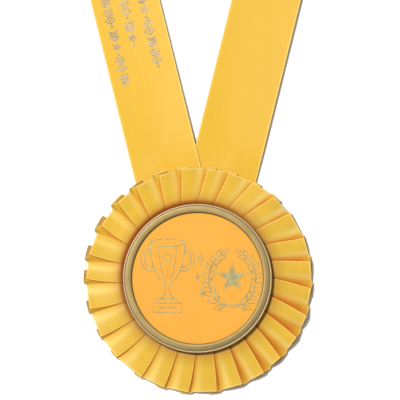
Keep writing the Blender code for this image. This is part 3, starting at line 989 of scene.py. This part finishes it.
def draw_wreath(foil, centre, radius, line):
    """Two laurel branches round a filled star, in millimetres about their middle."""
    x, y = centre
    tall = radius * 1.18
    for side in (-1, 1):

        def facing(heading, side=side):
            return heading if side > 0 else 180 - heading

        def on_branch(angle, side=side):
            turn = math.radians(angle)
            return x + side * radius * math.cos(turn), y + tall * math.sin(turn)

        foil.stroke([(x + side * a, y + b) for a, b in arc((0, 0), (radius, tall), -84, 62, 30)], line)
        for step in range(8):
            angle = -70 + step * 17.5
            for swing in (38, -34):
                heading = facing(angle + 90 - swing)
                foil.stroke(leaf(on_branch(angle), heading, 6.2 - 0.28 * step, 2.3), line * 0.85, closed=True)
        foil.stroke(leaf(on_branch(62), facing(62 + 82), 4.8, 2.0), line * 0.85, closed=True)
        tail = arc((x + side * 3.4, y - tall - 0.4), (3.4, 1.9), facing(180), facing(-60), 18)
        foil.stroke(tail, line)
    foil.patch(star((x, y + 0.6), 6.6))
    foil.stroke(star((x, y + 0.6), 8.6), line * 0.8, closed=True)


def draw_sparkles(foil, line):
    """Short strokes that link the two halves of the emblem."""
    for x, y, size in ((0.4, 9.0, 3.4), (1.0, -8.6, 2.6), (-1.4, -0.4, 1.8)):
        foil.stroke([(x, y - size), (x, y + size)], line)
        foil.stroke([(x - size * 0.7, y), (x + size * 0.7, y)], line)
        for angle in (45, 135, 225, 315):
            turn = math.radians(angle)
            reach = [(x + r * size * math.cos(turn), y + r * size * math.sin(turn)) for r in (0.25, 0.55)]
            foil.stroke(reach, line * 0.8)


class AWARD_OT_emblem(bpy.types.Operator):
    """Prints the foil emblem on the button's face"""

    bl_idname = "award.emblem"
    bl_label = "Foil emblem"

    def execute(self, context):
        settings = context.scene.award_foil
        line = settings.line / MM
        foil = FoilPrint()
        middle = Vector((1.5 * MM, 1.0 * MM, INSERT_FACE + settings.thickness * 0.6))
        foil.place = lambda x, y: middle + Vector((x * MM, y * MM, 0.0))
        draw_cup(foil, (-17.0, 0.0), line)
        draw_wreath(foil, (16.6, -1.5), 12.2, line)
        draw_sparkles(foil, line)
        finish = foil_finish("emblem_foil", settings.emblem)
        foil.piece("foil_emblem", finish, "rosette", "printed_insert", settings.thickness)
        return {"FINISHED"}


# Each row of foil: how far in from the leg's middle line, and where its lower end is up the ribbon.
FOIL_ROWS = ((-10.0 * MM, 103.0 * MM), (-1.0 * MM, 120.5 * MM), (8.6 * MM, 107.5 * MM))
FOIL_ROW_TOP = 196.0 * MM


def foil_motif(foil, s, kind, chance):
    """One ornament of a foil row, in millimetres along (x) and across (y) the row. Returns its length."""
    if kind == "sprig":
        foil.stroke([(s, 0.0), (s + 5.4, 0.0)], 0.7)
        for step in range(3):
            for side in (-1, 1):
                size = 3.3 + chance.uniform(-0.2, 0.2)
                foil.patch(leaf((s + 0.3 + step * 1.75, 0.0), side * 54, size, 1.3, 5))
        return 7.0
    if kind == "diamond":
        foil.stroke([(s, 0.0), (s + 1.8, 2.7), (s + 3.6, 0.0), (s + 1.8, -2.7)], 1.0, closed=True)
        foil.patch(arc((s + 1.8, 0.0), (0.6, 0.8), 0, 330, 11))
        return 4.5
    if kind == "star":
        foil.patch([(s + 2.5 + a, b) for a, b in star((0.0, 0.0), 2.8)])
        return 5.5
    if kind == "bars":
        for step, half in enumerate((2.0, 2.8, 2.0)):
            foil.stroke([(s + step * 1.4, -half), (s + step * 1.4, half)], 0.9)
        return 4.0
    foil.patch(arc((s + 0.7, 0.0), (0.8, 0.8), 0, 330, 11))
    return 2.3


class AWARD_OT_foil_rows(bpy.types.Operator):
    """Stamps three rows of foil ornament along the left leg of the neck ribbon"""

    bl_idname = "award.foil_rows"
    bl_label = "Foil rows"

    def execute(self, context):
        settings = context.scene.award_foil
        ribbon = context.scene.award_neck_ribbon
        path = RibbonPath(ribbon, -1)
        chance = random.Random(4)
        order = ("sprig", "diamond", "bars", "dot", "star", "sprig", "dot", "diamond", "bars")
        foil = FoilPrint()
        lift = ribbon.cloth / 2 + settings.thickness * 0.6
        for number, (inward, low) in enumerate(FOIL_ROWS):

            def place(x, y, inward=inward):
                at = path.at(x * MM, inward + y * MM)
                return at + UP * (path.lie(at.y, inward + y * MM) + lift)

            foil.place = place
            s = path.s_at(low) / MM
            count = number * 3
            while path.at(s * MM, inward).y < FOIL_ROW_TOP:
                s += foil_motif(foil, s, order[count % len(order)], chance)
                count += 1
        finish = foil_finish("border_foil", settings.border)
        foil.piece("foil_rows", finish, "legs", "satin", settings.thickness)
        return {"FINISHED"}


# Button -----------------------------------------------------------------------------------------


def bezel_section(inner):
    """The bezel cut across: a low rounded crown over a square skirt, as (radius, height) points."""
    low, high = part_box("bezel")
    outer, top = BEZEL_RADIUS + 0.2 * MM, high.z
    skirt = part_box("printed_insert")[1].x + 0.5 * MM
    under = INSERT_FACE + 0.25 * MM
    crown = [
        (inner, top - 0.5 * MM), (inner + 0.03 * MM, top - 0.3 * MM), (inner + 0.12 * MM, top - 0.16 * MM),
        (inner + 0.35 * MM, top - 0.08 * MM), (inner + 1.0 * MM, top), (inner + 1.9 * MM, top + 0.03 * MM),
        (outer - 0.6 * MM, top - 0.02 * MM), (outer - 0.2 * MM, top - 0.08 * MM),
        (outer - 0.06 * MM, top - 0.15 * MM), (outer, top - 0.28 * MM),
    ]
    return crown + [(outer, low.z), (skirt, low.z), (skirt, under), (inner + 0.1 * MM, under)]


def pan_section(wall):
    """The pan cut across: a flat plate, a rounded foot and a wall with a rolled lip."""
    low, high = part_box("button_pan")
    outer, hole = high.x, 1.0 * MM
    plate, rim = low.z + 0.4 * MM, high.z + 0.62 * MM
    roll = 0.35 * MM
    foot = [
        (hole, low.z), (outer - 2.2 * MM, low.z), (outer - 1.0 * MM, low.z + 0.25 * MM),
        (outer - 0.3 * MM, low.z + 0.9 * MM), (outer - 0.12 * MM, low.z + 1.7 * MM),
        (outer - 0.1 * MM, rim - 0.8 * MM),
    ]
    lip = [
        (outer - wall / 2 + wall / 2 * math.cos(a), rim - roll + roll * math.sin(a))
        for a in (math.pi * step / 8 for step in range(9))
    ]
    return foot + lip + [(outer - wall, plate + 0.5 * MM), (outer - wall - 0.4 * MM, plate), (hole, plate)]


class AWARD_OT_button(bpy.types.Operator):
    """Turns the bezel and the pan, and finishes the printed face"""

    bl_idname = "award.button"
    bl_label = "Framed button"

    def execute(self, context):
        settings = context.scene.award_button
        brass = shared_brass()
        crown = bezel_section(settings.bezel_inner)
        bezel = turned("brushed_bezel", crown, settings.steps, brass, "rosette")
        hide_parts("bezel")
        wall = pan_section(settings.lip)
        pan = turned("rolled_pan", wall, settings.steps, brass, "rosette")
        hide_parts("button_pan")
        coat_node("printed_insert", face_finish("printed_face", settings.face))
        return {"FINISHED"}


class AWARD_OT_backing(bpy.types.Operator):
    """Finishes the cards, the staples, the thread and the glue that hold the award together"""

    bl_idname = "award.backing"
    bl_label = "Cards and fastenings"

    def execute(self, context):
        grey = board_finish("grey_pulp_board", (0.40, 0.38, 0.34), 0.2)
        for node in ("base_card", "stiffener"):
            coat_node(node, grey)
        coat_node("back_card", board_finish("ruled_white_card", (0.80, 0.78, 0.72), 0.06, ruled=True))
        wire = plain_finish("drawn_steel_wire", (0.6, 0.6, 0.62), 0.3, 2500.0, Metallic=1.0)
        for node in frame["nodes"]:
            if "staple" in node:
                coat_node(node, wire)
        coat_node("gathering_thread", plain_finish("golden_thread", (0.75, 0.42, 0.07), 0.8, 5000.0))
        coat_node("glue_ring", plain_finish("cured_glue", (0.72, 0.66, 0.5), 0.35, 500.0))
        return {"FINISHED"}


# Stage ------------------------------------------------------------------------------------------

VIEW_CENTRE = (1.32 * MM, 40.65 * MM)
KEY_PLACE = Vector((-0.32, 0.31, 1.12))
KEY_AIM = Vector((0.0, 0.03, 0.0))


class AWARD_OT_stage(bpy.types.Operator):
    """Sets the white floor, the soft lights and the camera straight above"""

    bl_idname = "award.stage"
    bl_label = "Stage"

    def execute(self, context):
        settings = context.scene.award_stage
        scene = context.scene
        bm = bmesh.new()
        bmesh.ops.create_grid(bm, x_segments=1, y_segments=1, size=3.0)
        bmesh.ops.translate(bm, vec=(0.0, 0.1, -0.05 * MM), verts=bm.verts)
        mesh = bpy.data.meshes.new("floor")
        bm.to_mesh(mesh)
        bm.free()
        floor = bpy.data.objects.new("floor", mesh)
        scene.collection.objects.link(floor)
        mesh.materials.append(Finish("white_floor", (0.98, 0.98, 0.98), 0.9, Specular_IOR_Level=0.0).material)

        world = bpy.data.worlds.new("surroundings")
        world.use_nodes = True
        sky = world.node_tree.nodes["Background"].inputs
        sky["Color"].default_value = (1.0, 1.0, 1.0, 1.0)
        sky["Strength"].default_value = settings.sky
        scene.world = world

        lamp = bpy.data.lights.new("key", "AREA")
        lamp.shape = "DISK"
        lamp.size = 0.18
        lamp.energy = settings.key_power
        key = bpy.data.objects.new("key", lamp)
        scene.collection.objects.link(key)
        key.location = KEY_PLACE
        key.rotation_euler = (KEY_AIM - KEY_PLACE).to_track_quat("-Z", "Y").to_euler()

        lens = bpy.data.cameras.new("camera")
        lens.lens = lens.sensor_width * settings.camera_height / settings.view_width
        lens.clip_end = 10.0
        camera = bpy.data.objects.new("camera", lens)
        scene.collection.objects.link(camera)
        camera.location = (*VIEW_CENTRE, settings.camera_height)
        scene.camera = camera
        scene.view_settings.view_transform = "Standard"
        scene.view_settings.look = "None"
        return {"FINISHED"}


class AWARD_PT_panel(bpy.types.Panel):
    """Lists the pieces of the award"""

    bl_label = "Award ribbon"
    bl_idname = "AWARD_PT_panel"
    bl_space_type = "VIEW_3D"
    bl_region_type = "UI"
    bl_category = "Award"

    def draw(self, context):
        for group, (kind, operators) in GROUPS.items():
            box = self.layout.box()
            for prop in kind.__annotations__:
                box.prop(getattr(context.scene, group), prop)
            for operator in operators:
                box.operator(operator.bl_idname)


GROUPS = {
    "award_stage": (StageSettings, (AWARD_OT_stage,)),
    "award_ruffle": (RuffleSettings, (AWARD_OT_ruffle,)),
    "award_neck_ribbon": (NeckRibbonSettings, (AWARD_OT_neck_ribbon,)),
    "award_button": (ButtonSettings, (AWARD_OT_button, AWARD_OT_backing)),
    "award_foil": (FoilSettings, (AWARD_OT_emblem, AWARD_OT_foil_rows)),
}


def register():
    for group, (kind, operators) in GROUPS.items():
        bpy.utils.register_class(kind)
        setattr(bpy.types.Scene, group, PointerProperty(type=kind))
        for operator in operators:
            bpy.utils.register_class(operator)
    bpy.utils.register_class(AWARD_PT_panel)


def unregister():
    bpy.utils.unregister_class(AWARD_PT_panel)
    for group, (kind, operators) in GROUPS.items():
        for operator in operators:
            bpy.utils.unregister_class(operator)
        delattr(bpy.types.Scene, group)
        bpy.utils.unregister_class(kind)


def main():
    register()
    bpy.ops.award.stage()
    bpy.ops.award.ruffle()
    bpy.ops.award.neck_ribbon()
    bpy.ops.award.button()
    bpy.ops.award.backing()
    bpy.ops.award.emblem()
    bpy.ops.award.foil_rows()


if __name__ == "__main__":
    main()
